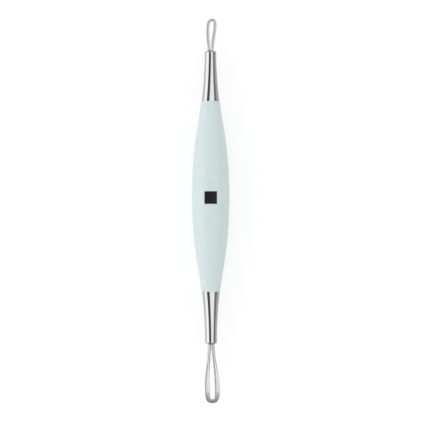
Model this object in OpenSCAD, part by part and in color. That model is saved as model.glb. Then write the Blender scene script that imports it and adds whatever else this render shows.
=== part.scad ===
// Double-ended blackhead extractor.
// A moulded plastic spindle holds a turned steel ferrule in each end, and each ferrule
// holds a loop of bent and flattened steel wire, brazed in at its mouth.
// The tool lies along Y on the fullest line of its handle: the small loop points to +Y,
// the large loop to -Y, and the plain square badge faces up, to +Z.

/* [Handle] */
// Length of the handle between its two end faces
handle_len = 61.7; // [52:0.1:80]
// Diameter of the handle at its fullest
handle_d = 12.1; // [10:0.1:15]
// Diameter of the handle at each end, before its edge is eased
handle_end_d = 6.2; // [5.8:0.1:7.5]
// How far the full belly holds on from the middle before it falls away
belly_hold = 16.7; // [10:0.1:20]
// How far the slim neck holds on from each end
neck_hold = 8; // [4:0.1:11]
// Slope of the neck where it reaches the end face, in degrees
neck_angle = 5.2; // [1:0.1:10]
// Length of the eased edge at each end
ease_len = 1.1; // [0.4:0.1:2.5]
// What the eased edge takes off the radius at the end face
ease_drop = 0.2; // [0.05:0.01:0.35]

/* [Ferrules] */
// Visible length of the small loop's ferrule
small_ferrule_len = 16.3; // [10:0.1:24]
// Visible length of the large loop's ferrule
large_ferrule_len = 16.9; // [10:0.1:24]
// Diameter of the small loop's ferrule at its mouth
small_mouth_d = 3.7; // [3.4:0.1:4.8]
// Diameter of the large loop's ferrule at its mouth
large_mouth_d = 3.8; // [3.6:0.1:4.8]
// How deep the small loop's ferrule curves in from a straight cone
small_hollow = 0.23; // [0:0.01:0.3]
// How deep the large loop's ferrule curves in from a straight cone
large_hollow = 0.23; // [0:0.01:0.3]
// Step on the radius from the handle's end face in to the ferrule
seat_step = 0.03; // [0.02:0.01:0.25]
// Radius of the rounded edge round the mouth
mouth_edge = 0.3; // [0.1:0.05:0.35]

/* [Spigots] */
// Diameter of the spigot that each ferrule holds in the handle by
spigot_d = 3.6; // [2.6:0.1:4]
// Length of the spigot inside the handle
spigot_len = 12; // [8:0.5:18]
// Number of glue grooves turned round the spigot
groove_count = 3; // [1:1:5]
// Width of a glue groove
groove_w = 0.8; // [0.4:0.1:1]
// Depth of a glue groove
groove_depth = 0.25; // [0.1:0.05:0.4]
// Clearance of the spigot in its bore, on the radius
glue_gap = 0.05; // [0.02:0.01:0.1]
// Room between the end of the spigot and the bottom of its bore
bore_room = 0.5; // [0.2:0.1:2]

/* [Small loop] */
// Diameter of the small loop's wire
small_wire_d = 0.9; // [0.6:0.05:1.1]
// Gap between the small loop's legs at the mouth
small_leg_gap = 0.2; // [0.1:0.02:0.4]
// How far the small loop reaches out of its ferrule
small_reach = 10.6; // [8:0.1:14]
// Outer width of the small loop at its widest
small_loop_w = 3.3; // [3:0.1:5]
// Length of the small loop's crown, from its widest point to its tip
small_crown_len = 2.8; // [2.2:0.1:4]
// Width of the flattened wire along the small loop's sides
small_side_w = 1; // [0.9:0.05:1.2]
// Width of the flattened wire at the small loop's tip
small_tip_w = 0.8; // [0.6:0.05:1]
// Thickness of the flattened wire along the small loop's sides
small_flat_t = 0.7; // [0.5:0.05:0.9]
// Thickness of the wire at the small loop's tip, where it is pressed less
small_tip_t = 0.85; // [0.5:0.05:1]
// How far the small loop's tip leans to the side
small_lean = 0.55; // [0:0.05:0.6]

/* [Large loop] */
// Diameter of the large loop's wire
large_wire_d = 1.04; // [0.7:0.02:1.2]
// Gap between the large loop's legs at the mouth
large_leg_gap = 0.12; // [0.1:0.02:0.3]
// How far the large loop reaches out of its ferrule
large_reach = 19.5; // [15:0.1:25]
// Outer width of the large loop at its widest
large_loop_w = 4.85; // [4.2:0.05:7]
// Length of the large loop's crown, from its widest point to its tip
large_crown_len = 5.8; // [5:0.1:9]
// Width of the flattened wire along the large loop's sides
large_side_w = 1.56; // [1.2:0.02:1.8]
// Width of the flattened wire at the large loop's tip
large_tip_w = 1.3; // [1:0.05:1.5]
// Thickness of the flattened wire along the large loop's sides
large_flat_t = 0.65; // [0.5:0.05:0.9]
// Thickness of the wire at the large loop's tip, where it is pressed less
large_tip_t = 0.9; // [0.5:0.05:1.1]
// How far the large loop's tip leans to the side
large_lean = 0.5; // [0:0.05:0.8]
// How far the large loop is turned about the tool's axis, in degrees
large_roll = 6; // [-10:1:10]
// How far the tip of the large loop curls down
large_curl = 0.7; // [0:0.05:1.2]
// Length of the large loop that curls down, back from its tip
large_curl_len = 5.5; // [3:0.5:8]

/* [Brazed joints] */
// Length of wire leg inside the ferrule
leg_inside = 6; // [3:0.5:9]
// Depth of the braze from the mouth inwards
braze_len = 2; // [1:0.1:2.8]
// Height of the braze's domed face above the mouth
braze_dome = 0.35; // [0.1:0.05:0.4]
// Room round the pair of legs in the ferrule's socket
socket_room = 0.12; // [0.05:0.01:0.2]
// Clearance that keeps the braze off the wall and the legs
braze_film = 0.02; // [0.01:0.005:0.04]

/* [Badge] */
// Side of the plain square badge
badge_side = 4; // [3:0.1:6]
// Thickness of the badge below the surface of the handle
badge_depth = 0.4; // [0.2:0.05:0.8]
// How far the badge sits from the handle's middle towards the large loop
badge_shift = 0.4; // [0:0.1:5]
// Clearance round and under the badge
badge_gap = 0.04; // [0.02:0.01:0.08]

/* [Hidden] */

// Lengths along the tool, with Y = 0 at the middle of its whole length
whole_len = small_reach + small_ferrule_len + handle_len + large_ferrule_len + large_reach;
small_mouth_y = whole_len / 2 - small_reach;
small_seat_y = small_mouth_y - small_ferrule_len;
large_seat_y = small_seat_y - handle_len;
large_mouth_y = large_seat_y - large_ferrule_len;
handle_mid_y = (small_seat_y + large_seat_y) / 2;
axis_z = handle_d / 2;

// Sizes that fitted pieces share
half_len = handle_len / 2;
face_r = handle_end_d / 2 - ease_drop;
ferrule_base_r = face_r - seat_step;
spigot_r = spigot_d / 2;
spigot_bore_r = spigot_r + glue_gap;
spigot_bore_len = spigot_len + bore_room;
spigot_chamfer = 0.3;
groove_pitch = spigot_len / (groove_count + 1);
socket_len = leg_inside + 0.5;
drill_point_angle = 59;
cut_past = 1;

// Fineness of the outlines and of the swept wire
belly_steps = 40;
flare_steps = 18;
edge_steps = 6;
dome_steps = 8;
round_faces = 96;
wire_faces = 24;
side_steps = 18;
crown_steps = 18;

// Shape of the loops: how square each crown is, how the lean grows along the loop, and
// where along its leg the round wire begins and ends to turn flat
small_crown_power = 2.8;
large_crown_power = 3.6;
small_lean_power = 2;
large_lean_power = 1.2;
flat_section_power = 4;
small_flat_start = 0.5;
small_flat_end = 4;
large_flat_start = 3.5;
large_flat_end = 14.5;

plastic_colour = "#d1e0e0";
steel_colour = "#c9cacb";
braze_colour = "#8f9092";
badge_colour = "#202124";

// Eases from 0 to 1 with level ends, and holds outside that span
function ease(u) = let (v = min(1, max(0, u))) v * v * (3 - 2 * v);

// A power that keeps the sign, which squares up the corners of an ellipse
function signed_power(base, power) = sign(base) * pow(abs(base), power);

function bezier(p, t) =
    pow(1 - t, 3) * p[0] + 3 * pow(1 - t, 2) * t * p[1]
    + 3 * (1 - t) * t * t * p[2] + pow(t, 3) * p[3];

// Half of the handle's outline as [radius, distance from the middle], inset by a depth.
// One Bezier curve runs level at the belly and turns into the neck; the edge eases off last.
function handle_half(inset) =
    let (
        radii = [
            handle_d / 2,
            handle_d / 2,
            handle_end_d / 2 + neck_hold * sin(neck_angle),
            handle_end_d / 2
        ],
        places = [0, belly_hold, half_len - neck_hold * cos(neck_angle), half_len]
    )
    [for (i = [0:belly_steps])
        let (
            t = sin(90 * i / belly_steps),
            z = bezier(places, t),
            edge = max(0, (z - half_len + ease_len) / ease_len)
        )
        [bezier(radii, t) - ease_drop * edge * edge - inset, z]];

function mirrored_half(half) = [for (i = [len(half) - 1:-1:1]) [half[i][0], -half[i][1]]];

// Outline of the spigot with its glue grooves, from its tip up to the ferrule's seat at 0
function spigot_outline() = concat(
    [[0, -spigot_len], [spigot_r - spigot_chamfer, -spigot_len]],
    [[spigot_r, spigot_chamfer - spigot_len]],
    [for (i = [groove_count:-1:1])
        for (corner = [[0, -1], [1, -1], [1, 1], [0, 1]])
            [spigot_r - groove_depth * corner[0],
             groove_w / 2 * corner[1] - groove_pitch * i]],
    [[spigot_r, 0]]
);

// Outline of the flare from the seat to the mouth, ending in the rounded mouth edge
function flare_outline(length, mouth_r, hollow) = concat(
    [for (i = [0:flare_steps])
        let (u = i / flare_steps)
        [ferrule_base_r + (mouth_r - ferrule_base_r) * u - 4 * hollow * u * (1 - u),
         (length - mouth_edge) * u]],
    [for (i = [1:edge_steps])
        let (a = 90 * i / edge_steps)
        [mouth_r - mouth_edge * (1 - cos(a)), length - mouth_edge * (1 - sin(a))]]
);

// The socket that takes both legs, drilled in from the mouth
function socket_outline(length, socket_r) = [
    [socket_r, length],
    [socket_r, length - socket_len],
    [0, length - socket_len - socket_r / tan(drill_point_angle)]
];

function leg_offset(wire_d, leg_gap) = (wire_d + leg_gap) / 2;

function socket_radius(wire_d, leg_gap) = leg_offset(wire_d, leg_gap) + wire_d / 2 + socket_room;

// How far a loop has curled down at a distance from the mouth
function curl_drop(y, reach, curl, curl_len) =
    curl * pow(max(0, (y - reach + curl_len) / curl_len), 2);

// Stands a turned piece along Y, its own Z towards the loop at the end that dir names
module along_tool(y, dir) {
    translate([0, y, axis_z])
        rotate([-90 * dir, 0, 0])
            children();
}

// Turns a piece about the tool's axis
module rolled(angle) {
    translate([0, 0, axis_z])
        rotate([0, angle, 0])
            translate([0, 0, -axis_z])
                children();
}

module turned(outline) {
    rotate_extrude($fn = round_faces)
        polygon(outline);
}

module handle_form(inset) {
    half = handle_half(inset);
    along_tool(handle_mid_y, 1)
        turned(concat([[0, -half_len]], mirrored_half(half), half, [[0, half_len]]));
}

// A square column through the top of the handle where the badge sits
module badge_column(side) {
    translate([-side / 2, handle_mid_y - badge_shift - side / 2, axis_z])
        cube([side, side, handle_d]);
}

module spigot_bore(y, dir) {
    along_tool(y, dir)
        translate([0, 0, -spigot_bore_len])
            cylinder(r = spigot_bore_r, h = spigot_bore_len + cut_past, $fn = round_faces);
}

module handle() {
    color(plastic_colour)
        difference() {
            handle_form(0);
            difference() {
                badge_column(badge_side + 2 * badge_gap);
                handle_form(badge_depth + badge_gap);
            }
            spigot_bore(small_seat_y, 1);
            spigot_bore(large_seat_y, -1);
        }
}

module badge() {
    color(badge_colour)
        difference() {
            intersection() {
                badge_column(badge_side);
                handle_form(0);
            }
            handle_form(badge_depth);
        }
}

module ferrule(seat_y, dir, length, mouth_r, hollow, socket_r) {
    color(steel_colour)
        along_tool(seat_y, dir)
            turned(concat(
                spigot_outline(),
                flare_outline(length, mouth_r, hollow),
                socket_outline(length, socket_r)
            ));
}

// The braze fills the mouth round both legs and domes out a little between them
module braze(mouth_y, dir, wire_d, leg_gap) {
    braze_r = socket_radius(wire_d, leg_gap) - braze_film;
    dome = [for (i = [0:dome_steps])
        let (a = 90 * i / dome_steps)
        [braze_r * cos(a), braze_dome * sin(a)]];
    color(braze_colour)
        along_tool(mouth_y, dir)
            difference() {
                turned(concat([[0, -braze_len], [braze_r, -braze_len]], dome));
                for (side = [-1, 1])
                    translate([side * leg_offset(wire_d, leg_gap), 0, -braze_len - cut_past])
                        cylinder(
                            r = wire_d / 2 + braze_film,
                            h = braze_len + braze_dome + 2 * cut_past,
                            $fn = round_faces
                        );
            }
}

// Half of a loop's centre line as [distance from its middle, distance from the mouth,
// angle round the crown]: a straight leg, a side that swells, and a squarish crown
function loop_half(leg_x, side_x, widest, crown, crown_power) = concat(
    [[leg_x, -leg_inside, 0]],
    [for (i = [0:side_steps])
        let (d = widest * i / side_steps)
        [leg_x + (side_x - leg_x) * ease(d / widest), d, 0]],
    [for (i = [1:crown_steps])
        let (a = 90 * i / crown_steps)
        [side_x * signed_power(cos(a), 2 / crown_power),
         widest + crown * signed_power(sin(a), 2 / crown_power),
         a]]
);

// The whole centre line, up one leg, round the crown and down the other, with its lean
function loop_line(half, lean, lean_power) =
    let (
        last = len(half) - 1,
        tip_y = half[last][1],
        sway = [for (p = half) lean * pow(max(0, p[1]) / tip_y, lean_power)]
    )
    concat(
        [for (i = [0:last]) [sway[i] - half[i][0], half[i][1], half[i][2]]],
        [for (i = [last - 1:-1:0]) [sway[i] + half[i][0], half[i][1], half[i][2]]]
    );

// One ring of the wire's section, in the plane across the centre line at point i
function wire_ring(line, i, width, thick, power) =
    let (
        before = line[max(0, i - 1)],
        after = line[min(len(line) - 1, i + 1)],
        run = norm([after[0] - before[0], after[1] - before[1]]),
        across = [before[1] - after[1], after[0] - before[0]] / run
    )
    [for (k = [0:wire_faces - 1])
        let (
            a = 360 * k / wire_faces,
            out = width / 2 * signed_power(cos(a), 2 / power)
        )
        [line[i][0] + across[0] * out,
         line[i][1] + across[1] * out,
         thick / 2 * signed_power(sin(a), 2 / power)]];

// Faces of a tube of rings, with a flat cap on each end
function tube_faces(rings) = concat(
    [[for (k = [0:wire_faces - 1]) k]],
    [for (i = [0:rings - 2])
        for (k = [0:wire_faces - 1])
            let (
                a = i * wire_faces + k,
                b = i * wire_faces + (k + 1) % wire_faces
            )
            each [[a, a + wire_faces, b + wire_faces], [a, b + wire_faces, b]]],
    [[for (k = [wire_faces - 1:-1:0]) (rings - 1) * wire_faces + k]]
);

// A loop of wire that starts round in its ferrule, is pressed flat along its sides and
// turns rounder again in its crown, which may curl down towards its tip
module wire_loop(
    mouth_y, dir, wire_d, leg_gap, reach, outer_w, crown_len, side_w, tip_w, flat_t, tip_t,
    crown_power, lean, lean_power, flat_start, flat_end, curl = 0, curl_len = 1
) {
    half = loop_half(
        leg_offset(wire_d, leg_gap),
        (outer_w - side_w) / 2,
        reach - crown_len,
        crown_len - tip_w / 2,
        crown_power
    );
    line = loop_line(half, lean, lean_power);
    rings = [for (i = [0:len(line) - 1])
        let (
            flat = ease((line[i][1] - flat_start) / (flat_end - flat_start)),
            turn = pow(sin(line[i][2]), 2)
        )
        wire_ring(
            line, i,
            wire_d + (side_w - wire_d) * flat + (tip_w - side_w) * turn,
            wire_d + (flat_t - wire_d) * flat + (tip_t - flat_t) * turn,
            2 + (flat_section_power - 2) * flat * (1 - turn)
        )];
    points = [for (ring = rings)
        for (p = ring)
            [p[0], p[1], p[2] - curl_drop(p[1], reach, curl, curl_len)]];
    color(steel_colour)
        translate([0, mouth_y, axis_z])
            mirror([0, dir < 0 ? 1 : 0, 0])
                polyhedron(points, tube_faces(len(rings)));
}

module small_ferrule() {
    ferrule(
        small_seat_y, 1, small_ferrule_len, small_mouth_d / 2, small_hollow,
        socket_radius(small_wire_d, small_leg_gap)
    );
}

module large_ferrule() {
    ferrule(
        large_seat_y, -1, large_ferrule_len, large_mouth_d / 2, large_hollow,
        socket_radius(large_wire_d, large_leg_gap)
    );
}

module small_braze() {
    braze(small_mouth_y, 1, small_wire_d, small_leg_gap);
}

module large_braze() {
    rolled(large_roll)
        braze(large_mouth_y, -1, large_wire_d, large_leg_gap);
}

module small_loop() {
    wire_loop(
        small_mouth_y, 1, small_wire_d, small_leg_gap, small_reach, small_loop_w,
        small_crown_len, small_side_w, small_tip_w, small_flat_t, small_tip_t,
        small_crown_power, small_lean, small_lean_power, small_flat_start, small_flat_end
    );
}

module large_loop() {
    rolled(large_roll)
        wire_loop(
            large_mouth_y, -1, large_wire_d, large_leg_gap, large_reach, large_loop_w,
            large_crown_len, large_side_w, large_tip_w, large_flat_t, large_tip_t,
            large_crown_power, large_lean, large_lean_power, large_flat_start,
            large_flat_end, large_curl, large_curl_len
        );
}

handle();
badge();
small_ferrule();
small_braze();
small_loop();
large_ferrule();
large_braze();
large_loop();
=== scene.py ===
# %% [markdown]
# # A double-ended blackhead extractor
# The tool is a moulded plastic spindle with a turned steel ferrule in each end, and each
# ferrule holds a loop of pressed steel wire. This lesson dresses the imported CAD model:
# every round piece is a profile swept by one node tree, both loops are made by a second
# tree, and each finish is a small procedural material. All sizes are in metres, in the
# CAD model's own frame: Y runs along the tool, +Z points up through the badge.

# %% Load the frame
import math

import bmesh
import bpy
import numpy as np
from mathutils import Matrix, Vector


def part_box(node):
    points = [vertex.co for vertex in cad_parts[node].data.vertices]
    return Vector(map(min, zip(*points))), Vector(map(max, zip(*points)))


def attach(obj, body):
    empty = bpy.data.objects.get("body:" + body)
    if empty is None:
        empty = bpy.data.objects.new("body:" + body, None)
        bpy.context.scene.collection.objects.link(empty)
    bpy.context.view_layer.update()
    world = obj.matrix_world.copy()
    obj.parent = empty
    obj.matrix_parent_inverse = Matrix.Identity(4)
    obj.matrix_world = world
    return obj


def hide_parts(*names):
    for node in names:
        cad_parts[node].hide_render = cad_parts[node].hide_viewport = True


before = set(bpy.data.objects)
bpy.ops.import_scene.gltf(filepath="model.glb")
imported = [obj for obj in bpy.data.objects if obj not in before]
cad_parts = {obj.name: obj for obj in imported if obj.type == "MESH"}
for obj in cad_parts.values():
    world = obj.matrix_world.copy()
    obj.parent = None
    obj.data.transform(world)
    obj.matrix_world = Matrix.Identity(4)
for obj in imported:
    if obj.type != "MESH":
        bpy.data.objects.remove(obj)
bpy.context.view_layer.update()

MM = 0.001
print("CAD nodes:", sorted(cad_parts))

# %% [markdown]
# ## Read the sizes from the CAD
# A dressed piece must sit exactly where its CAD solid sits, so its size is read from that
# solid's box, and only what a box can't tell, such as an inner radius, is a named value.
# The small loop's wire is as thick above the tool's axis as below, so its box gives the
# axis.

# %% Sizes that the frame gives
handle_low, handle_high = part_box("handle")
wire_low, wire_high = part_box("small_loop")
AXIS_Z = (wire_low.z + wire_high.z) / 2
HANDLE_R = handle_high.x
HANDLE_MID = (handle_low.y + handle_high.y) / 2
HALF_LEN = (handle_high.y - handle_low.y) / 2
print(f"handle: {2 * HALF_LEN / MM:.1f} mm long, {2 * HANDLE_R / MM:.2f} mm thick")

# %% [markdown]
# ## Helpers for nodes and colours
# A node tree is easier to read when one line makes one node. `add` makes a node of any
# kind, applies its settings, and fills each input with a value or with a link from another
# node's output. Some nodes hold several sockets of one name and show only one, so `socket`
# looks for the one that is in use. `colour` turns a sRGB hex value, which is how a colour
# is given, into the linear numbers that the renderer works in.

# %% Node and colour helpers
def socket(sockets, name):
    return next(s for s in sockets if s.name == name and s.enabled)


def add(tree, kind, inputs=None, **settings):
    node = tree.nodes.new(kind)
    for name, value in settings.items():
        setattr(node, name, value)
    for key, value in (inputs or {}).items():
        target = node.inputs[key] if isinstance(key, int) else socket(node.inputs, key)
        if isinstance(value, bpy.types.NodeSocket):
            tree.links.new(value, target)
        else:
            target.default_value = value
    return node


def colour(hex_value):
    parts = [int(hex_value[i : i + 2], 16) / 255 for i in (1, 3, 5)]
    linear = [c / 12.92 if c <= 0.04045 else ((c + 0.055) / 1.055) ** 2.4 for c in parts]
    return (*linear, 1.0)


def new_material(name):
    material = bpy.data.materials.new(name)
    material.use_nodes = True
    material.node_tree.nodes.clear()
    return material, material.node_tree


# %% [markdown]
# ## The handle's plastic
# The real handle is injection moulded, most likely ABS, in a pale ice blue. The mould was
# lightly blasted, which gives the eye a soft satin sheen and no sharp reflection. So the
# roughness is fairly high with a slow drift in it, the colour wanders by a hair as
# moulded pigment does, and a very fine bump stands for the blasted skin. Real blasting
# grit is about 0.05 mm; it is drawn at 0.2 mm, the finest that this view can show.

# %% Satin moulded plastic
SKIN_GRIT = 0.2 * MM
PIGMENT_DRIFT = 7 * MM

satin_plastic, tree = new_material("satin_moulded_abs")
place = add(tree, "ShaderNodeTexCoord").outputs["Object"]
drift = add(
    tree, "ShaderNodeTexNoise", {"Vector": place, "Scale": 1 / PIGMENT_DRIFT, "Detail": 3.0}
)
tint = add(
    tree,
    "ShaderNodeMix",
    {"Factor": drift.outputs["Fac"], "A": colour("#CCDADB"), "B": colour("#D0DEDE")},
    data_type="RGBA",
)
sheen = add(
    tree,
    "ShaderNodeMapRange",
    {"Value": drift.outputs["Fac"], "To Min": 0.36, "To Max": 0.46},
)
grit = add(
    tree, "ShaderNodeTexNoise", {"Vector": place, "Scale": 1 / SKIN_GRIT, "Detail": 2.0}
)
skin = add(
    tree,
    "ShaderNodeBump",
    {"Height": grit.outputs["Fac"], "Strength": 0.25, "Distance": 0.004 * MM},
)
plastic = add(
    tree,
    "ShaderNodeBsdfPrincipled",
    {
        "Base Color": socket(tint.outputs, "Result"),
        "Roughness": sheen.outputs["Result"],
        "IOR": 1.53,
        "Sheen Weight": 0.45,
        "Sheen Roughness": 0.35,
        "Normal": skin.outputs["Normal"],
    },
)
add(tree, "ShaderNodeOutputMaterial", {"Surface": plastic.outputs["BSDF"]})
print("material:", satin_plastic.name)

# %% [markdown]
# ## The badge's plastic
# The badge is a small black acrylic tile, pressed into a pocket in the handle. Its face is
# matted, which gives the eye an even black without a clear reflection. In use it picks up
# hairlines, drawn as a roughness that changes along thin, stretched noise.

# %% Black acrylic
HAIRLINE = 0.15 * MM
HAIRLINE_LEN = 3 * MM

black_acrylic, tree = new_material("black_acrylic")
place = add(tree, "ShaderNodeTexCoord").outputs["Object"]
stretched = add(
    tree,
    "ShaderNodeMapping",
    {
        "Vector": place,
        "Rotation": (0.0, 0.0, math.radians(35)),
        "Scale": (1 / HAIRLINE, 1 / HAIRLINE_LEN, 1 / HAIRLINE),
    },
)
hairlines = add(
    tree, "ShaderNodeTexNoise", {"Vector": stretched.outputs["Vector"], "Scale": 1.0}
)
worn = add(
    tree,
    "ShaderNodeMapRange",
    {"Value": hairlines.outputs["Fac"], "From Min": 0.4, "From Max": 0.7,
     "To Min": 0.42, "To Max": 0.55},
)
acrylic = add(
    tree,
    "ShaderNodeBsdfPrincipled",
    {
        "Base Color": colour("#0E1314"),
        "Roughness": worn.outputs["Result"],
        "IOR": 1.49,
        "Specular IOR Level": 0.3,
    },
)
add(tree, "ShaderNodeOutputMaterial", {"Surface": acrylic.outputs["BSDF"]})
print("material:", black_acrylic.name)

# %% [markdown]
# ## The ferrules' steel
# The ferrules are turned from stainless bar and polished on the lathe. Polishing leaves
# fine rings round the part, which spread a reflection a little along the tool and leave it
# crisp across, so the bright and dark bands run straight from end to end. The rings are
# noise that changes fast along Y and slowly round the piece. Real polishing rings are
# 0.02 mm apart; they are drawn at 0.25 mm, because finer ones would vanish here.

# %% Turned and polished stainless steel
RING_PITCH = 0.25 * MM
RING_RUN = 6 * MM

turned_steel, tree = new_material("turned_polished_stainless")
place = add(tree, "ShaderNodeTexCoord").outputs["Object"]
stretched = add(
    tree,
    "ShaderNodeMapping",
    {"Vector": place, "Scale": (1 / RING_RUN, 1 / RING_PITCH, 1 / RING_RUN)},
)
rings = add(
    tree,
    "ShaderNodeTexNoise",
    {"Vector": stretched.outputs["Vector"], "Scale": 1.0, "Detail": 3.0},
)
polish = add(
    tree,
    "ShaderNodeMapRange",
    {"Value": rings.outputs["Fac"], "To Min": 0.04, "To Max": 0.12},
)
ring_bump = add(
    tree,
    "ShaderNodeBump",
    {"Height": rings.outputs["Fac"], "Strength": 0.2, "Distance": 0.002 * MM},
)
steel = add(
    tree,
    "ShaderNodeBsdfPrincipled",
    {
        "Base Color": colour("#C6C6C7"),
        "Metallic": 1.0,
        "Roughness": polish.outputs["Result"],
        "Normal": ring_bump.outputs["Normal"],
    },
)
add(tree, "ShaderNodeOutputMaterial", {"Surface": steel.outputs["BSDF"]})
print("material:", turned_steel.name)

# %% [markdown]
# ## The loops' steel
# The loops are drawn stainless wire, bent, pressed flat in a die and then tumbled smooth.
# Drawing leaves lines along the wire and tumbling leaves a soft shine with faint dents.
# The wire bends, so its lines can't follow the object's own axes: each loop carries an
# attribute, `straight_wire`, that says where a point would lie if the wire were pulled
# straight, and the noise reads that. Draw lines are 0.01 mm apart and are drawn at 0.12.
#
# The crown is the working edge, and use has worn it dull, drawn as a higher roughness there.
# Its colour is also painted a little darker round the crown, a painted shade for the darker
# reflections that the crown's faces catch. A second attribute, `crown_share`, says how far
# round the crown a point is, and both the roughness and the painted shade follow it.

# %% Drawn and pressed stainless wire
DRAW_LINE = 0.12 * MM
DRAW_RUN = 5 * MM
DENT = 1.2 * MM
SMOOTHEST = 0.22
ROUGHEST = 0.32
CROWN_WEAR = 0.36

pressed_wire, tree = new_material("drawn_pressed_stainless")
along_wire = add(
    tree, "ShaderNodeAttribute", attribute_name="straight_wire"
).outputs["Vector"]
stretched = add(
    tree,
    "ShaderNodeMapping",
    {"Vector": along_wire, "Scale": (1 / DRAW_LINE, 1 / DRAW_RUN, 1 / DRAW_LINE)},
)
lines = add(
    tree,
    "ShaderNodeTexNoise",
    {"Vector": stretched.outputs["Vector"], "Scale": 1.0, "Detail": 2.0},
)
dents = add(
    tree, "ShaderNodeTexNoise", {"Vector": along_wire, "Scale": 1 / DENT, "Detail": 1.0}
)
soft_shine = add(
    tree,
    "ShaderNodeMapRange",
    {"Value": lines.outputs["Fac"], "To Min": SMOOTHEST, "To Max": ROUGHEST},
)
crown_share = add(
    tree, "ShaderNodeAttribute", attribute_name="crown_share"
).outputs["Fac"]
worn_shine = add(
    tree,
    "ShaderNodeMath",
    {0: crown_share, 1: CROWN_WEAR, 2: soft_shine.outputs["Result"]},
    operation="MULTIPLY_ADD",
)
# Painted shade: the colour darkens from #D4D4D5 to #C0C0C1 round the crown, for the darker
# reflections that the crown catches.
crown_painted_shade = add(
    tree,
    "ShaderNodeMix",
    {"Factor": crown_share, "A": colour("#D4D4D5"), "B": colour("#C0C0C1")},
    data_type="RGBA",
)
line_bump = add(
    tree,
    "ShaderNodeBump",
    {"Height": lines.outputs["Fac"], "Strength": 0.2, "Distance": 0.002 * MM},
)
dent_bump = add(
    tree,
    "ShaderNodeBump",
    {
        "Height": dents.outputs["Fac"],
        "Strength": 0.3,
        "Distance": 0.02 * MM,
        "Normal": line_bump.outputs["Normal"],
    },
)
wire = add(
    tree,
    "ShaderNodeBsdfPrincipled",
    {
        "Base Color": socket(crown_painted_shade.outputs, "Result"),
        "Metallic": 1.0,
        "Roughness": worn_shine.outputs[0],
        "Normal": dent_bump.outputs["Normal"],
    },
)
add(tree, "ShaderNodeOutputMaterial", {"Surface": wire.outputs["BSDF"]})
print("material:", pressed_wire.name)

# %% [markdown]
# ## A softer finish for the thin wire
# The small loop is tumbled longer than the large one, which spreads its reflections wider
# and gives the eye a paler, more even grey, and its crown isn't worn. A copy of the
# finished material needs only a new roughness, no wear, and one colour at both ends of the
# crown mix, so its crown gets no painted shade. The copied tree keeps its nodes' names, so
# the nodes are found by them.

# %% Longer tumbled wire
TUMBLED_SMOOTHEST = 0.36
TUMBLED_ROUGHEST = 0.48

tumbled_wire = pressed_wire.copy()
tumbled_wire.name = "drawn_tumbled_stainless"
copied = tumbled_wire.node_tree.nodes
copied[soft_shine.name].inputs["To Min"].default_value = TUMBLED_SMOOTHEST
copied[soft_shine.name].inputs["To Max"].default_value = TUMBLED_ROUGHEST
copied[worn_shine.name].inputs[1].default_value = 0.0
# The small loop's crown gets no painted shade: both ends of the mix take one colour.
for name in ("A", "B"):
    socket(copied[crown_painted_shade.name].inputs, name).default_value = colour("#DADADB")
print("material:", tumbled_wire.name)

# %% [markdown]
# ## The braze
# Silver braze fills each ferrule's mouth round the wire legs. It froze from a melt, so it
# is smooth and slightly rippled, and flux and heat leave it duller and darker than the
# steel. A rough metal with small ripples and stained patches gives the eye that.

# %% Silver braze
RIPPLE = 0.35 * MM

silver_braze, tree = new_material("silver_braze")
place = add(tree, "ShaderNodeTexCoord").outputs["Object"]
ripples = add(
    tree, "ShaderNodeTexNoise", {"Vector": place, "Scale": 1 / RIPPLE, "Detail": 2.0}
)
stain = add(
    tree,
    "ShaderNodeMix",
    {"Factor": ripples.outputs["Fac"], "A": colour("#4C4A48"), "B": colour("#7A7976")},
    data_type="RGBA",
)
ripple_bump = add(
    tree,
    "ShaderNodeBump",
    {"Height": ripples.outputs["Fac"], "Strength": 0.5, "Distance": 0.03 * MM},
)
braze_metal = add(
    tree,
    "ShaderNodeBsdfPrincipled",
    {
        "Base Color": socket(stain.outputs, "Result"),
        "Metallic": 1.0,
        "Roughness": 0.42,
        "Normal": ripple_bump.outputs["Normal"],
    },
)
add(tree, "ShaderNodeOutputMaterial", {"Surface": braze_metal.outputs["BSDF"]})
print("material:", silver_braze.name)

# %% [markdown]
# ## From a node tree to a plain mesh
# Each modelled piece starts as a short line of points. `grow` gives those points to a
# Geometry Nodes tree, sets the tree's named inputs before the first evaluation, and keeps
# the result as a plain mesh. `tidy` then merges doubled points, turns every face outward
# and marks the real corners sharp, so that the rest can be shaded smooth.

# %% Helpers that make meshes
WELD = 0.0001 * MM


def points_mesh(name, points):
    mesh = bpy.data.meshes.new(name)
    steps = [(i, i + 1) for i in range(len(points) - 1)]
    mesh.from_pydata(points, steps, [])
    return mesh


def tidy(mesh, sharp_angle):
    work = bmesh.new()
    work.from_mesh(mesh)
    bmesh.ops.remove_doubles(work, verts=work.verts, dist=WELD)
    bmesh.ops.recalc_face_normals(work, faces=work.faces)
    work.to_mesh(mesh)
    work.free()
    mesh.shade_smooth()
    mesh.set_sharp_from_angle(angle=math.radians(sharp_angle))


def grow(name, base, tree, values, sharp_angle):
    seed = bpy.data.objects.new(name + "_seed", base)
    bpy.context.scene.collection.objects.link(seed)
    modifier = seed.modifiers.new("grow", "NODES")
    modifier.node_group = tree
    for item in tree.interface.items_tree:
        if item.in_out == "INPUT" and item.name in values:
            modifier[item.identifier] = values[item.name]
    depsgraph = bpy.context.evaluated_depsgraph_get()
    mesh = bpy.data.meshes.new_from_object(seed.evaluated_get(depsgraph))
    bpy.data.objects.remove(seed)
    mesh.name = name
    tidy(mesh, sharp_angle)
    return mesh


def place_piece(name, mesh, node):
    piece = bpy.data.objects.new(name, mesh)
    bpy.context.scene.collection.objects.link(piece)
    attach(piece, "root")
    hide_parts(node)
    triangles = sum(len(p.vertices) - 2 for p in mesh.polygons)
    print(f"{name}: {triangles} triangles")


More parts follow.
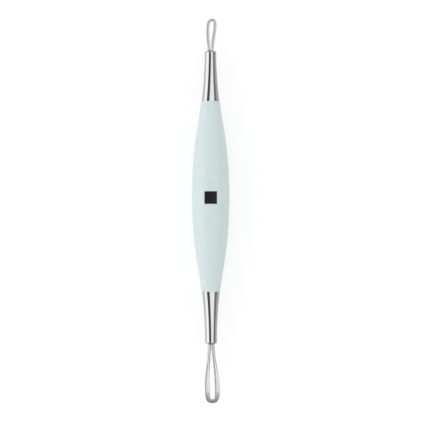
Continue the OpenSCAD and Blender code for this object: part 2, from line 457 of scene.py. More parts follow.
# %% [markdown]
# ## A tree for turned pieces
# A lathe sweeps one profile round an axis. The Screw modifier could do that too, but this
# tree keeps the seam and both poles closed. It lays out a grid with one row for each
# profile point and one column for each step round, and moves every grid point to its
# profile radius at its own angle. Column 0 points straight up, to +Z. Merging by distance
# then closes the seam, where the last column meets the first, and the poles.

# %% Geometry Nodes: turned form
turned_form = bpy.data.node_groups.new("turned_form", "GeometryNodeTree")
face = turned_form.interface
face.new_socket("Profile", in_out="INPUT", socket_type="NodeSocketGeometry")
face.new_socket("Faces Round", in_out="INPUT", socket_type="NodeSocketInt")
face.new_socket("Axis Height", in_out="INPUT", socket_type="NodeSocketFloat")
face.new_socket("Weld", in_out="INPUT", socket_type="NodeSocketFloat")
face.new_socket("Finish", in_out="INPUT", socket_type="NodeSocketMaterial")
face.new_socket("Form", in_out="OUTPUT", socket_type="NodeSocketGeometry")


def grid_places(tree, profile, across):
    """Nodes for a grid over a profile: the grid, each point's row, and its column."""
    rows = add(
        tree, "GeometryNodeAttributeDomainSize", {"Geometry": profile}, component="MESH"
    ).outputs["Point Count"]
    columns = add(tree, "ShaderNodeMath", {0: across, 1: 1.0}, operation="ADD").outputs[0]
    grid = add(tree, "GeometryNodeMeshGrid", {"Vertices X": rows, "Vertices Y": columns})
    index = add(tree, "GeometryNodeInputIndex").outputs["Index"]
    centre = add(tree, "ShaderNodeMath", {0: index, 1: 0.5}, operation="ADD").outputs[0]
    ratio = add(tree, "ShaderNodeMath", {0: centre, 1: columns}, operation="DIVIDE")
    row = add(tree, "ShaderNodeMath", {0: ratio.outputs[0]}, operation="FLOOR").outputs[0]
    before = add(tree, "ShaderNodeMath", {0: row, 1: columns}, operation="MULTIPLY")
    column = add(
        tree, "ShaderNodeMath", {0: index, 1: before.outputs[0]}, operation="SUBTRACT"
    ).outputs[0]
    return grid.outputs["Mesh"], row, column


def finish_form(tree, form, weld, finish):
    """Nodes that close a form, shade it smooth and give it its material."""
    welded = add(
        tree, "GeometryNodeMergeByDistance", {"Geometry": form, "Distance": weld}
    ).outputs["Geometry"]
    smooth = add(tree, "GeometryNodeSetShadeSmooth", {"Geometry": welded}).outputs[0]
    real = add(tree, "GeometryNodeRealizeInstances", {"Geometry": smooth}).outputs[0]
    dressed = add(tree, "GeometryNodeSetMaterial", {"Geometry": real, "Material": finish})
    add(tree, "NodeGroupOutput", {0: dressed.outputs["Geometry"]})


given = add(turned_form, "NodeGroupInput").outputs
grid, row, column = grid_places(turned_form, given["Profile"], given["Faces Round"])
profile_point = add(
    turned_form,
    "GeometryNodeSampleIndex",
    {
        "Geometry": given["Profile"],
        "Value": add(turned_form, "GeometryNodeInputPosition").outputs[0],
        "Index": row,
    },
    data_type="FLOAT_VECTOR",
)
parts = add(turned_form, "ShaderNodeSeparateXYZ", {0: profile_point.outputs[0]}).outputs
share = add(
    turned_form, "ShaderNodeMath", {0: column, 1: given["Faces Round"]}, operation="DIVIDE"
)
turn = add(
    turned_form, "ShaderNodeMath", {0: share.outputs[0], 1: 2 * math.pi}, operation="MULTIPLY"
)
sine = add(turned_form, "ShaderNodeMath", {0: turn.outputs[0]}, operation="SINE")
cosine = add(turned_form, "ShaderNodeMath", {0: turn.outputs[0]}, operation="COSINE")
sideways = add(
    turned_form, "ShaderNodeMath", {0: parts["X"], 1: sine.outputs[0]}, operation="MULTIPLY"
)
upwards = add(
    turned_form,
    "ShaderNodeMath",
    {0: parts["X"], 1: cosine.outputs[0], 2: given["Axis Height"]},
    operation="MULTIPLY_ADD",
)
spot = add(
    turned_form,
    "ShaderNodeCombineXYZ",
    {"X": sideways.outputs[0], "Y": parts["Y"], "Z": upwards.outputs[0]},
)
moved = add(
    turned_form, "GeometryNodeSetPosition", {"Geometry": grid, "Position": spot.outputs[0]}
)
finish_form(turned_form, moved.outputs["Geometry"], given["Weld"], given["Finish"])
print("tree:", turned_form.name, "with", len(turned_form.nodes), "nodes")

# %% [markdown]
# ## The handle
# The handle is one long curve: level at the belly, then falling into a slim neck. A cubic
# Bezier curve with four named values draws it, as in the CAD source, and a search along
# the curve gives the radius at any place, so rows can be put exactly where the badge's
# pocket begins and ends. The last millimetre eases in, and a small radius breaks the
# moulded corner. The profile runs on into the blind bore that takes the ferrule.

# %% The handle's outline
END_R = 3.1 * MM
BELLY_HOLD = 16.7 * MM
NECK_HOLD = 8 * MM
NECK_ANGLE = math.radians(5.2)
EASE_LEN = 1.1 * MM
EASE_DROP = 0.2 * MM
CORNER_R = 0.03 * MM
BORE_R = 1.85 * MM
BORE_LEN = 12.5 * MM
RADII = (HANDLE_R, HANDLE_R, END_R + NECK_HOLD * math.sin(NECK_ANGLE), END_R)
PLACES = (0, BELLY_HOLD, HALF_LEN - NECK_HOLD * math.cos(NECK_ANGLE), HALF_LEN)
SEARCH_STEPS = 40


def bezier(p, t):
    s = 1 - t
    return s**3 * p[0] + 3 * s * s * t * p[1] + 3 * s * t * t * p[2] + t**3 * p[3]


def handle_radius(offset):
    """The handle's radius at a distance from its middle."""
    reach = abs(offset)
    low, high = 0.0, 1.0
    for _ in range(SEARCH_STEPS):
        middle = (low + high) / 2
        if bezier(PLACES, middle) < reach:
            low = middle
        else:
            high = middle
    edge = max(0.0, (reach - HALF_LEN + EASE_LEN) / EASE_LEN)
    return bezier(RADII, low) - EASE_DROP * edge * edge


print(f"radius 20 mm from the middle: {handle_radius(20 * MM) / MM:.2f} mm")

# %% [markdown]
# ## The handle's mesh
# The faces of the swept grid run straight along the handle. With 256 faces round, the 14th
# column lies 2.04 mm from the middle, which is the side of the badge's pocket. So the
# pocket is simply those faces, pushed in. No boolean cuts the smooth skin, and nothing
# disturbs its shading. A narrow bevel then rounds the pocket's rim.

# %% Sweep the handle and sink the pocket
HANDLE_FACES = 256
HANDLE_SHARP = 50
POCKET_COLUMN = 14
POCKET_DEPTH = 0.44 * MM
POCKET_GAP = 0.04 * MM
POCKET_RIM = 0.05 * MM
badge_low, badge_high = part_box("badge")
BADGE_HALF = (badge_high.x - badge_low.x) / 2
BADGE_MID = (badge_low.y + badge_high.y) / 2
POCKET_HALF = BADGE_HALF + POCKET_GAP


def rounded_end():
    """Offsets and radii round the corner between the eased edge and the end face."""
    face_r = END_R - EASE_DROP
    arc = [math.radians(a) for a in (25, 40, 55, 70, 90)]
    return [
        (face_r - CORNER_R + CORNER_R * math.cos(a), HALF_LEN - CORNER_R + CORNER_R * math.sin(a))
        for a in arc
    ]


belly_end = HALF_LEN - EASE_LEN
pocket_start = BADGE_MID - HANDLE_MID - POCKET_HALF
pocket_end = BADGE_MID - HANDLE_MID + POCKET_HALF
offsets = [
    *np.linspace(CORNER_R - HALF_LEN, -belly_end, 9)[:-1],
    *np.linspace(-belly_end, pocket_start, 56)[:-1],
    *np.linspace(pocket_start, pocket_end, 9)[:-1],
    *np.linspace(pocket_end, belly_end, 56)[:-1],
    *np.linspace(belly_end, HALF_LEN - CORNER_R, 9),
]
corner = rounded_end()
bore = [(BORE_R, HALF_LEN), (BORE_R, HALF_LEN - BORE_LEN), (0.0, HALF_LEN - BORE_LEN)]
outline = (
    [(r, -y) for r, y in reversed(corner + bore)]
    + [(handle_radius(y), y) for y in offsets]
    + corner
    + bore
)
handle_mesh = grow(
    "handle_skin",
    points_mesh("handle_outline", [(r, HANDLE_MID + y, 0.0) for r, y in outline]),
    turned_form,
    {"Faces Round": HANDLE_FACES, "Axis Height": AXIS_Z, "Weld": WELD, "Finish": satin_plastic},
    HANDLE_SHARP,
)
column_x = HANDLE_R * math.sin(2 * math.pi * POCKET_COLUMN / HANDLE_FACES)
print(f"pocket column at {column_x / MM:.3f} mm, pocket half side {POCKET_HALF / MM:.3f} mm")

# %% [markdown]
# Pushing the pocket in takes three steps on the mesh: find the faces that lie over it,
# extrude them as an island, which raises a wall round them, and slide the island towards
# the axis. Sliding along the radius keeps the pocket's floor parallel to the skin.

# %% Push in the badge's pocket
def over_pocket(point):
    return (
        point.z > AXIS_Z
        and abs(point.x) < column_x + WELD
        and abs(point.y - BADGE_MID) < POCKET_HALF + WELD
    )


work = bmesh.new()
work.from_mesh(handle_mesh)
lid = {f for f in work.faces if all(over_pocket(v.co) for v in f.verts)}
rim = [e for f in lid for e in f.edges if not set(e.link_faces) <= lid]
island = bmesh.ops.extrude_face_region(work, geom=list(lid))["geom"]
floor_points = [v for v in island if isinstance(v, bmesh.types.BMVert)]
for point in floor_points:
    radius = math.hypot(point.co.x, point.co.z - AXIS_Z)
    shrink = 1 - POCKET_DEPTH / radius
    point.co.x *= shrink
    point.co.z = AXIS_Z + (point.co.z - AXIS_Z) * shrink
left_over = [f for f in lid if f.is_valid]
bmesh.ops.delete(work, geom=left_over, context="FACES_ONLY")
loose = [e for e in work.edges if not e.link_faces]
bmesh.ops.delete(work, geom=loose, context="EDGES")
rim = [e for e in rim if e.is_valid]
bmesh.ops.bevel(work, geom=rim, offset=POCKET_RIM, segments=2, profile=0.5, affect="EDGES")
open_edges = sum(not e.is_manifold for e in work.edges)
work.to_mesh(handle_mesh)
work.free()
tidy(handle_mesh, HANDLE_SHARP)
print(f"pocket: {len(floor_points)} points pushed in, {open_edges} open edges")
place_piece("handle_skin", handle_mesh, "handle")

# %% [markdown]
# ## The badge
# The badge is a thin tile that follows the handle's curve, flush with the skin. A flat grid
# is wrapped onto the handle by giving each point the skin's height at its place, then it
# gets its thickness and a narrow rounded edge. Its face is bare, with nothing on it.

# %% Make the tile
TILE_STEPS = 24
TILE_DEPTH = 0.4 * MM
TILE_EDGE = 0.06 * MM
TILE_SHARP = 40
TILE_CORNER = math.radians(50)

tile = bmesh.new()
bmesh.ops.create_grid(tile, x_segments=TILE_STEPS, y_segments=TILE_STEPS, size=BADGE_HALF)
for point in tile.verts:
    place_y = BADGE_MID + point.co.y
    skin_r = handle_radius(place_y - HANDLE_MID)
    point.co = (point.co.x, place_y, AXIS_Z + math.sqrt(skin_r**2 - point.co.x**2))
top = list(tile.faces)
back = bmesh.ops.extrude_face_region(tile, geom=top, use_keep_orig=True)["geom"]
for point in [v for v in back if isinstance(v, bmesh.types.BMVert)]:
    shrink = 1 - TILE_DEPTH / (point.co.z - AXIS_Z)
    point.co.z = AXIS_Z + (point.co.z - AXIS_Z) * shrink
bmesh.ops.recalc_face_normals(tile, faces=tile.faces)
corners = [e for e in tile.edges if e.is_manifold and e.calc_face_angle() > TILE_CORNER]
bmesh.ops.bevel(
    tile, geom=corners, offset=TILE_EDGE, segments=3, profile=0.5, affect="EDGES"
)
badge_mesh = bpy.data.meshes.new("badge_tile")
tile.to_mesh(badge_mesh)
tile.free()
badge_mesh.materials.append(black_acrylic)
tidy(badge_mesh, TILE_SHARP)
place_piece("badge_tile", badge_mesh, "badge")

# %% [markdown]
# ## The ferrules
# A ferrule is one turned piece: a grooved spigot that hides in the handle, a seat, a hollow
# flare down to the mouth, a rounded mouth edge, and a drilled socket for the wire legs. The
# seat lies on the handle's end face and the mouth where the ferrule's box ends. One
# function writes the profile for both ends, mirrored for the one that points to -Y.

# %% Make both ferrules
FERRULE_FACES = 192
SPIGOT_R = 1.8 * MM
SPIGOT_LEN = 12 * MM
SPIGOT_CHAMFER = 0.3 * MM
GROOVES = 3
GROOVE_HALF = 0.4 * MM
GROOVE_DEPTH = 0.25 * MM
MOUTH_EDGE = 0.3 * MM
SOCKET_LEN = 6.5 * MM
DRILL_ANGLE = math.radians(59)
FLARE_STEPS = 60
EDGE_STEPS = 8
FERRULE_SHARP = 40


def ferrule_outline(length, base_r, mouth_r, hollow, socket_r):
    """Radius and distance from the seat, from the spigot's tip round to the socket's."""
    points = [(0.0, -SPIGOT_LEN), (SPIGOT_R - SPIGOT_CHAMFER, -SPIGOT_LEN)]
    points.append((SPIGOT_R, SPIGOT_CHAMFER - SPIGOT_LEN))
    for i in range(GROOVES, 0, -1):
        middle = -SPIGOT_LEN * i / (GROOVES + 1)
        points.append((SPIGOT_R, middle - GROOVE_HALF))
        points.append((SPIGOT_R - GROOVE_DEPTH, middle - GROOVE_HALF))
        points.append((SPIGOT_R - GROOVE_DEPTH, middle + GROOVE_HALF))
        points.append((SPIGOT_R, middle + GROOVE_HALF))
    points.append((SPIGOT_R, 0.0))
    for u in np.linspace(0, 1, FLARE_STEPS):
        r = base_r + (mouth_r - base_r) * u - 4 * hollow * u * (1 - u)
        points.append((r, (length - MOUTH_EDGE) * u))
    for a in np.radians(np.linspace(0, 90, EDGE_STEPS + 1))[1:]:
        r = mouth_r - MOUTH_EDGE * (1 - math.cos(a))
        points.append((r, length - MOUTH_EDGE * (1 - math.sin(a))))
    points.append((socket_r, length))
    points.append((socket_r, length - SOCKET_LEN))
    points.append((0.0, length - SOCKET_LEN - socket_r / math.tan(DRILL_ANGLE)))
    return points


def make_ferrule(name, node, seat_y, mouth_y, mouth_r, hollow, socket_r):
    side = math.copysign(1, mouth_y - seat_y)
    base_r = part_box(node)[1].x
    outline = ferrule_outline(abs(mouth_y - seat_y), base_r, mouth_r, hollow, socket_r)
    base = points_mesh(name, [(r, seat_y + side * y, 0.0) for r, y in outline])
    sizes = {
        "Faces Round": FERRULE_FACES,
        "Axis Height": AXIS_Z,
        "Weld": WELD,
        "Finish": turned_steel,
    }
    mesh = grow(name, base, turned_form, sizes, FERRULE_SHARP)
    place_piece(name, mesh, node)


SMALL_SEAT = HANDLE_MID + HALF_LEN
LARGE_SEAT = HANDLE_MID - HALF_LEN
SMALL_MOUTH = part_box("small_ferrule")[1].y
LARGE_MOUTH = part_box("large_ferrule")[0].y
make_ferrule(
    "small_ferrule_turned", "small_ferrule", SMALL_SEAT, SMALL_MOUTH, 1.85 * MM, 0.23 * MM,
    1.12 * MM,
)
make_ferrule(
    "large_ferrule_turned", "large_ferrule", LARGE_SEAT, LARGE_MOUTH, 1.9 * MM, 0.23 * MM,
    1.22 * MM,
)

# %% [markdown]
# ## The braze
# The CAD model already holds both plugs of braze with their domed faces and the holes that
# the legs pass through. Their shape is right, so they stay and only get their finish.

# %% Dress the braze
for node in ("small_braze", "large_braze"):
    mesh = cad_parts[node].data
    mesh.materials.clear()
    mesh.materials.append(silver_braze)
    print(node, "wears", mesh.materials[0].name)

# %% [markdown]
# ## A tree for pressed wire
# A curve with a round profile can't show a wire that is pressed flat and turns round again.
# This tree takes the wire's centre line as a mesh, whose points carry the wire's width, its
# thickness and how square its section is. It lays one ring of a grid round each point, in
# the plane across the line, and shapes the ring as a superellipse, which is an ellipse
# whose corners can be filled out. It also stores where each point would lie on the
# straight wire, for the draw lines, and its share of the crown, for the wear roughness and
# the painted crown shade. End points of no width close the two ends.

# %% Geometry Nodes: pressed wire
pressed_form = bpy.data.node_groups.new("pressed_form", "GeometryNodeTree")
face = pressed_form.interface
face.new_socket("Centre Line", in_out="INPUT", socket_type="NodeSocketGeometry")
face.new_socket("Faces Round", in_out="INPUT", socket_type="NodeSocketInt")
face.new_socket("Weld", in_out="INPUT", socket_type="NodeSocketFloat")
face.new_socket("Finish", in_out="INPUT", socket_type="NodeSocketMaterial")
face.new_socket("Form", in_out="OUTPUT", socket_type="NodeSocketGeometry")

given = add(pressed_form, "NodeGroupInput").outputs
grid, row, column = grid_places(pressed_form, given["Centre Line"], given["Faces Round"])
line_point = add(pressed_form, "GeometryNodeInputPosition").outputs[0]


def at_row(value, index, kind):
    """The centre line's value at a row, for each point of the grid."""
    return add(
        pressed_form,
        "GeometryNodeSampleIndex",
        {"Geometry": given["Centre Line"], "Value": value, "Index": index},
        data_type=kind,
        clamp=True,
    ).outputs[0]


def line_number(name):
    attribute = add(
        pressed_form, "GeometryNodeInputNamedAttribute", {"Name": name}, data_type="FLOAT"
    )
    return at_row(attribute.outputs["Attribute"], row, "FLOAT")


def maths(operation, *values):
    inputs = dict(enumerate(values))
    return add(pressed_form, "ShaderNodeMath", inputs, operation=operation).outputs[0]


def vectors(operation, *values):
    inputs = dict(enumerate(values))
    return add(pressed_form, "ShaderNodeVectorMath", inputs, operation=operation).outputs[0]


here = at_row(line_point, row, "FLOAT_VECTOR")
before = at_row(line_point, maths("SUBTRACT", row, 1.0), "FLOAT_VECTOR")
after = at_row(line_point, maths("ADD", row, 1.0), "FLOAT_VECTOR")
run = vectors("NORMALIZE", vectors("SUBTRACT", after, before))
across = vectors("CROSS_PRODUCT", (0.0, 0.0, 1.0), run)
turn = maths("MULTIPLY", maths("DIVIDE", column, given["Faces Round"]), 2 * math.pi)
fill = maths("DIVIDE", 2.0, line_number("squareness"))


def filled_out(wave):
    """A sine or cosine raised to the section's power, with its sign kept."""
    size = maths("POWER", maths("ABSOLUTE", wave), fill)
    return maths("MULTIPLY", size, maths("SIGN", wave))


half_width = maths("MULTIPLY", line_number("width"), 0.5)
half_thick = maths("MULTIPLY", line_number("thickness"), 0.5)
outwards = maths("MULTIPLY", half_width, filled_out(maths("COSINE", turn)))
upwards = maths("MULTIPLY", half_thick, filled_out(maths("SINE", turn)))
lifted = add(pressed_form, "ShaderNodeCombineXYZ", {"Z": upwards}).outputs[0]
side_step = add(
    pressed_form, "ShaderNodeVectorMath", {0: across, "Scale": outwards}, operation="SCALE"
).outputs[0]
spot = vectors("ADD", here, vectors("ADD", side_step, lifted))
moved = add(pressed_form, "GeometryNodeSetPosition", {"Geometry": grid, "Position": spot})
pulled_straight = add(
    pressed_form, "ShaderNodeCombineXYZ", {"X": outwards, "Y": line_number("run"), "Z": upwards}
)
stored = add(
    pressed_form,
    "GeometryNodeStoreNamedAttribute",
    {
        "Geometry": moved.outputs["Geometry"],
        "Name": "straight_wire",
        "Value": pulled_straight.outputs[0],
    },
    data_type="FLOAT_VECTOR",
    domain="POINT",
)
# The crown share drives the crown's wear roughness and its painted shade in the material.
worn = add(
    pressed_form,
    "GeometryNodeStoreNamedAttribute",
    {
        "Geometry": stored.outputs["Geometry"],
        "Name": "crown_share",
        "Value": line_number("crown"),
    },
    data_type="FLOAT",
    domain="POINT",
)
finish_form(pressed_form, worn.outputs["Geometry"], given["Weld"], given["Finish"])
print("tree:", pressed_form.name, "with", len(pressed_form.nodes), "nodes")

# %% [markdown]
# ## The loops
# Each loop is one piece of wire. Its centre line leaves the ferrule as a straight leg,
# swells out in a long S along its side and goes round a squarish crown, whose curve is a
# quarter of a superellipse. The wire is round at the legs, pressed wide and flat along the
# sides, and narrower and rounder again at the tip. The whole loop leans a little to one
# side, more towards its tip, as a hand-bent one does.

# %% The loops' centre line
WIRE_FACES = 40
WIRE_SHARP = 40
SIDE_STEPS = 90
CROWN_STEPS = 60
LEG_STEPS = 6


def ease(u):
    v = min(1.0, max(0.0, u))
    return v * v * (3 - 2 * v)


def signed_power(base, power):
    return math.copysign(abs(base) ** power, base)


def half_line(sizes, reach):
    """Half of the centre line: distance from the middle, from the mouth, and the turn."""
    leg_x = (sizes["wire"] + sizes["leg_gap"]) / 2
    side_x = (sizes["outer_width"] - sizes["side_width"]) / 2
    widest = reach - sizes["crown"]
    crown = sizes["crown"] - sizes["tip_width"] / 2
    power = 2 / sizes["crown_power"]
    points = [(leg_x, -sizes["leg_inside"] * (1 - i / LEG_STEPS), 0.0) for i in range(LEG_STEPS)]
    for i in range(SIDE_STEPS + 1):
        u = i / SIDE_STEPS
        points.append((leg_x + (side_x - leg_x) * ease(u), widest * u, 0.0))
    for i in range(1, CROWN_STEPS + 1):
        a = math.pi / 2 * i / CROWN_STEPS
        x = side_x * signed_power(math.cos(a), power)
        points.append((x, widest + crown * math.sin(a) ** power, a))
    return points


# %% [markdown]
# The large loop isn't quite flat. Its crown curls down towards the tip, and the whole loop
# is turned a few degrees about the tool's axis, which decides what its pressed faces
# mirror. A curl that grows with the square of the distance starts without a kink. Both are
# done on the finished mesh, where they take a few lines.

# %% Curl and turn a loop
def curl_and_turn(mesh, mouth_y, reach, sizes):
    """Curls the crown down towards its tip, then turns the loop about the tool's axis."""
    for point in mesh.vertices:
        distance = abs(point.co.y - mouth_y) - reach + sizes["curl_len"]
        outside = abs(point.co.y) > abs(mouth_y)
        share = max(0.0, distance / sizes["curl_len"]) if outside else 0.0
        point.co.z -= sizes["curl"] * share**2
    axis = Matrix.Translation((0.0, 0.0, AXIS_Z))
    mesh.transform(axis @ Matrix.Rotation(sizes["roll"], 4, "Y") @ axis.inverted())


# %% [markdown]
# The other half of a loop mirrors the first, and both sway sideways with the lean. Width,
# thickness and squareness follow two eased shares: `flat`, how far the wire is pressed at
# a distance from the mouth, and `turned`, how far round the crown it is. Each point of the
# centre line carries these numbers to the tree as attributes of their own.

# %% Press both loops
def make_loop(name, node, mouth_y, side, finish, sizes):
    low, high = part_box(node)
    reach = high.y - mouth_y if side > 0 else mouth_y - low.y
    half = half_line(sizes, reach)
    tip = half[-1][1]
    both = [(-x, y, a) for x, y, a in half] + [(x, y, a) for x, y, a in half[-2::-1]]
    points, widths, thicks, squares, runs, crowns = [], [], [], [], [], []
    run = 0.0
    for x, y, a in both:
        sway = sizes["lean"] * (max(0.0, y) / tip) ** sizes["lean_power"]
        spot = Vector((x + sway, mouth_y + side * y, AXIS_Z))
        run += (spot - points[-1]).length if points else 0.0
        flat = ease((y - sizes["flat_start"]) / (sizes["flat_end"] - sizes["flat_start"]))
        turned = math.sin(a) ** 2
        wire = sizes["wire"]
        points.append(spot)
        widths.append(
            wire
            + (sizes["side_width"] - wire) * flat
            + (sizes["tip_width"] - sizes["side_width"]) * turned
        )
        thicks.append(
            wire
            + (sizes["flat"] - wire) * flat
            + (sizes["tip_flat"] - sizes["flat"]) * turned
        )
        squares.append(2 + (sizes["squareness"] - 2) * flat * (1 - turned))
        runs.append(run)
        crowns.append(turned)
    base = points_mesh(name, [points[0], *points, points[-1]])
    numbers = {
        "width": [0.0, *widths, 0.0],
        "thickness": [0.0, *thicks, 0.0],
        "squareness": [squares[0], *squares, squares[-1]],
        "run": [runs[0], *runs, runs[-1]],
        "crown": [crowns[0], *crowns, crowns[-1]],
    }
    for key, values in numbers.items():
        attribute = base.attributes.new(key, "FLOAT", "POINT")
        attribute.data.foreach_set("value", values)
    settings = {"Faces Round": WIRE_FACES, "Weld": WELD, "Finish": finish}
    mesh = grow(name, base, pressed_form, settings, WIRE_SHARP)
    curl_and_turn(mesh, mouth_y, reach, sizes)
    print(f"{name}: {run / MM:.1f} mm of {sizes['wire'] / MM:.2f} mm wire")
    place_piece(name, mesh, node)


make_loop(
    "small_wire_loop",
    "small_loop",
    SMALL_MOUTH,
    1,
    tumbled_wire,
    {
        "wire": 0.9 * MM, "leg_gap": 0.2 * MM, "leg_inside": 6 * MM,
        "outer_width": 3.3 * MM, "curl": 0.0, "curl_len": 1 * MM, "roll": 0.0,
        "crown": 2.8 * MM, "crown_power": 2.8, "side_width": 1 * MM,
        "tip_width": 0.8 * MM, "flat": 0.7 * MM, "tip_flat": 0.85 * MM,
        "squareness": 4, "lean": 0.55 * MM, "lean_power": 2,
        "flat_start": 0.5 * MM, "flat_end": 4 * MM,
    },
)
make_loop(
    "large_wire_loop",
    "large_loop",
    LARGE_MOUTH,
    -1,
    pressed_wire,
    {
        "wire": 1.04 * MM, "leg_gap": 0.12 * MM, "leg_inside": 6 * MM,
        "outer_width": 4.85 * MM, "curl": 0.7 * MM, "curl_len": 5.5 * MM,
        "roll": math.radians(6),
        "crown": 5.8 * MM, "crown_power": 3.6, "side_width": 1.56 * MM,
        "tip_width": 1.3 * MM, "flat": 0.65 * MM, "tip_flat": 0.9 * MM,
        "squareness": 4, "lean": 0.5 * MM, "lean_power": 1.2,
        "flat_start": 3.5 * MM, "flat_end": 14.5 * MM,
    },
)

# %% [markdown]
# ## The floor
# A white sheet carries the tool. In a cut-out picture the sheet is pure white, yet the tool
# should still touch it. So the camera sees the sheet glow almost white with a thin share of
# real diffuse light, which keeps a soft shadow, while the tool itself is lit by a plain
# white sheet. The Light Path node tells the two apart. Polished metal mirrors the sheet
# too, and for glossy rays the sheet's colour is painted: lighter on the left and darker on
# the right, a painted shade on the right side of the tool.

# %% Lay the white sheet
SHEET_HALF = 3.0
SHEET_WHITE = 0.9
SHEET_GLOW = 0.72
SHADOW_SHARE = (0.3, 0.3, 0.3, 1.0)
WHITE = (1.0, 1.0, 1.0, 1.0)
# Painted light and shade: glossy rays see the sheet painted lighter left of the tool and darker
# right of it.
MIRRORED_LEFT_PAINTED_LIGHT = 0.95
MIRRORED_RIGHT_PAINTED_SHADE = 0.64
SIDE_FADE = 0.02

white_sheet, tree = new_material("white_paper_sheet")
light_path = add(tree, "ShaderNodeLightPath").outputs
place = add(tree, "ShaderNodeTexCoord").outputs["Object"]
across = add(tree, "ShaderNodeSeparateXYZ", {0: place}).outputs["X"]
# Painted light and shade: the sheet's colour for glossy rays steps from the lighter left value to
# the darker right one.
painted_side_shade = add(
    tree,
    "ShaderNodeMapRange",
    {
        "Value": across,
        "From Min": -SIDE_FADE,
        "From Max": SIDE_FADE,
        "To Min": MIRRORED_LEFT_PAINTED_LIGHT,
        "To Max": MIRRORED_RIGHT_PAINTED_SHADE,
    },
)
white_share = add(
    tree,
    "ShaderNodeMix",
    {
        "Factor": light_path["Is Glossy Ray"],
        "A": SHEET_WHITE,
        "B": painted_side_shade.outputs["Result"],
    },
)
plain = add(tree, "ShaderNodeBsdfDiffuse", {"Color": socket(white_share.outputs, "Result")})
thin = add(tree, "ShaderNodeBsdfDiffuse", {"Color": SHADOW_SHARE})
glow = add(tree, "ShaderNodeEmission", {"Color": WHITE, "Strength": SHEET_GLOW})
shown = add(tree, "ShaderNodeAddShader", {0: thin.outputs[0], 1: glow.outputs[0]})
seen = add(
    tree,
    "ShaderNodeMath",
    {0: light_path["Is Camera Ray"], 1: light_path["Is Transmission Ray"]},
    operation="ADD",
    use_clamp=True,
)
mixed = add(
    tree, "ShaderNodeMixShader", {0: seen.outputs[0], 1: plain.outputs[0], 2: shown.outputs[0]}
)
add(tree, "ShaderNodeOutputMaterial", {"Surface": mixed.outputs[0]})

sheet_mesh = bpy.data.meshes.new("white_sheet")
corners = [(-1, -1), (1, -1), (1, 1), (-1, 1)]
places = [(x * SHEET_HALF, y * SHEET_HALF, 0.0) for x, y in corners]
sheet_mesh.from_pydata(places, [], [(0, 1, 2, 3)])
sheet_mesh.materials.append(white_sheet)
sheet = bpy.data.objects.new("white_sheet", sheet_mesh)
bpy.context.scene.collection.objects.link(sheet)
print("sheet:", sheet.dimensions.x, "m square")

# %% [markdown]
# ## The studio
# Polished metal shows its surroundings, so a product studio stands white cards and black
# flags along both sides of a tool: the dark and bright bands on a ferrule are their
# reflections. Here they stand in the world, as a ramp of brightness over the angle round
# the tool's own axis, from -180 to 180 degrees, with 0 straight up and left negative. Only
# glossy rays see the cards. Diffuse rays see an even soft dome, and the camera sees white.
#
# A band that ran parallel to the tool would stay put on a flaring ferrule. In the picture
# the left band drifts outwards as the ferrule flares, so the flag leans: its angle grows
# with the square of the ray's Y, which bends it alike to both ends, and a small turn puts
# its far end further right. Past the cards stand two grey end walls, near at -Y and far at
# +Y. Only faces that tip steeply along the tool, such as the loops' crowns, mirror them.

# %% Cards and flags in the world
CARDS = (
    (-180, 1.2), (-110, 1.3), (-80, 1.6), (-38, 1.6), (-30, 0.1), (5, 0.1),
    (13, 1.4), (46, 1.4), (55, 0.26), (83, 0.26), (94, 0.5), (180, 0.6),
)
CARD_PEAK = 1.6
NEAR_END = 0.24
FAR_END = 0.5
NEAR_TO_FAR = 0.1
WALL_START = 0.076
WALL_FULL = 0.112
FAR_LATER = 0.4
FLAG_LEAN = math.radians(350)
FLAG_TURN = math.radians(8)
LEAN_STOPS = math.radians(45)

world = bpy.data.worlds.new("studio")
bpy.context.scene.world = world
world.use_nodes = True
tree = world.node_tree
tree.nodes.clear()
direction = add(tree, "ShaderNodeTexCoord").outputs["Generated"]
axes = add(tree, "ShaderNodeSeparateXYZ", {0: direction}).outputs
angle = add(tree, "ShaderNodeMath", {0: axes["X"], 1: axes["Z"]}, operation="ARCTAN2")
slant = add(tree, "ShaderNodeMath", {0: axes["Y"], 1: axes["Y"]}, operation="MULTIPLY")
turn = add(
    tree,
    "ShaderNodeMapRange",
    {
        "Value": axes["Y"],
        "From Min": -NEAR_TO_FAR,
        "From Max": NEAR_TO_FAR,
        "To Min": 0.0,
        "To Max": -FLAG_TURN,
    },
)
lean = add(
    tree,
    "ShaderNodeMath",
    {0: slant.outputs[0], 1: FLAG_LEAN, 2: turn.outputs["Result"]},
    operation="MULTIPLY_ADD",
)
left_share = add(
    tree,
    "ShaderNodeMapRange",
    {
        "Value": angle.outputs[0],
        "From Min": 0.0,
        "From Max": LEAN_STOPS,
        "To Min": 1.0,
        "To Max": 0.0,
    },
)
leaning = add(
    tree,
    "ShaderNodeMath",
    {0: lean.outputs[0], 1: left_share.outputs["Result"], 2: angle.outputs[0]},
    operation="MULTIPLY_ADD",
)
around = add(
    tree,
    "ShaderNodeMapRange",
    {"Value": leaning.outputs[0], "From Min": -math.pi, "From Max": math.pi},
)
ramp = add(tree, "ShaderNodeValToRGB", {"Fac": around.outputs["Result"]})
stops = ramp.color_ramp.elements
for degrees, bright in CARDS[1:-1]:
    stops.new((degrees + 180) / 360)
for stop, (degrees, bright) in zip(stops, CARDS):
    stop.position = (degrees + 180) / 360
    share = bright / CARD_PEAK
    stop.color = (share, share, share, 1.0)
wall_slant = add(
    tree,
    "ShaderNodeMath",
    {0: turn.outputs["Result"], 1: FAR_LATER, 2: slant.outputs[0]},
    operation="MULTIPLY_ADD",
)
past_cards = add(
    tree,
    "ShaderNodeMapRange",
    {"Value": wall_slant.outputs[0], "From Min": WALL_START, "From Max": WALL_FULL},
    interpolation_type="SMOOTHSTEP",
)
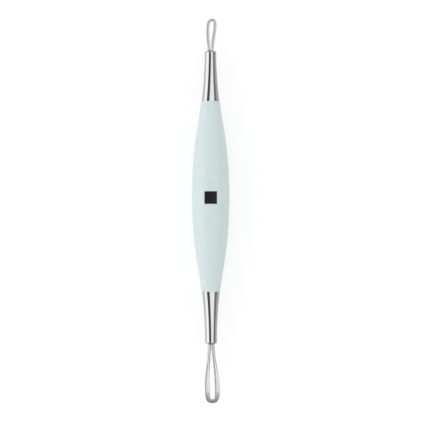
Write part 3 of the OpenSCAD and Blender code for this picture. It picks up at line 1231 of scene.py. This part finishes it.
end_wall = add(
    tree,
    "ShaderNodeMapRange",
    {
        "Value": axes["Y"],
        "From Min": -NEAR_TO_FAR,
        "From Max": NEAR_TO_FAR,
        "To Min": NEAR_END / CARD_PEAK,
        "To Max": FAR_END / CARD_PEAK,
    },
)
cards = add(
    tree,
    "ShaderNodeMix",
    {
        "Factor": past_cards.outputs["Result"],
        "A": ramp.outputs["Color"],
        "B": end_wall.outputs["Result"],
    },
    data_type="RGBA",
)
card_light = add(
    tree,
    "ShaderNodeBackground",
    {"Color": socket(cards.outputs, "Result"), "Strength": CARD_PEAK},
)
print("cards:", len(CARDS), "stops")

# %% [markdown]
# ## The soft dome
# Diffuse light comes from an even dome that grows brighter low on the left, as beside a
# large window. That turns the handle's left side a little paler and leaves the rest flat.

# %% Light the dome
DOME = 0.94
WINDOW = 0.6
WINDOW_EDGE = -0.3

window = add(
    tree,
    "ShaderNodeMapRange",
    {
        "Value": axes["X"],
        "From Min": WINDOW_EDGE,
        "From Max": -1.0,
        "To Min": DOME,
        "To Max": DOME + WINDOW,
    },
    interpolation_type="SMOOTHSTEP",
)
dome_light = add(
    tree,
    "ShaderNodeBackground",
    {"Color": WHITE, "Strength": window.outputs["Result"]},
)
white = add(tree, "ShaderNodeBackground", {"Color": WHITE, "Strength": 1.0})
light_path = add(tree, "ShaderNodeLightPath").outputs
lit = add(
    tree,
    "ShaderNodeMixShader",
    {0: light_path["Is Glossy Ray"], 1: dome_light.outputs[0], 2: card_light.outputs[0]},
)
seen = add(
    tree,
    "ShaderNodeMath",
    {0: light_path["Is Camera Ray"], 1: light_path["Is Transmission Ray"]},
    operation="ADD",
    use_clamp=True,
)
whole = add(
    tree,
    "ShaderNodeMixShader",
    {0: seen.outputs[0], 1: lit.outputs[0], 2: white.outputs[0]},
)
add(tree, "ShaderNodeOutputWorld", {"Surface": whole.outputs[0]})
print("dome:", DOME, "to", DOME + WINDOW)

# %% [markdown]
# ## The camera
# The picture was taken from straight above with a long lens. The lens is 135 mm on a 36 mm
# sensor, and the distance makes the picture 137.45 mm wide at the height of the tool's
# axis. The tool lies a hair off the picture's middle and a tenth of a degree askew.

# %% Aim the camera
LENS = 135
SENSOR = 36
VIEW_WIDTH = 137.45 * MM
AIM = Vector((0.24 * MM, -0.13 * MM, AXIS_Z))
ASKEW = math.radians(-0.11)

camera_data = bpy.data.cameras.new("camera")
camera_data.lens = LENS
camera_data.sensor_width = SENSOR
camera = bpy.data.objects.new("camera", camera_data)
camera.location = AIM + Vector((0.0, 0.0, VIEW_WIDTH * LENS / SENSOR))
camera.rotation_euler = (0.0, 0.0, ASKEW)
camera_data.clip_start = 0.01
camera_data.clip_end = 20
bpy.context.scene.collection.objects.link(camera)
bpy.context.scene.camera = camera
print(f"camera {camera.location.z / MM:.0f} mm above the sheet")

# %% [markdown]
# ## The view transform
# Colours are shown as written, so the view transform is Standard.

# %% Finish
bpy.context.scene.view_settings.view_transform = "Standard"
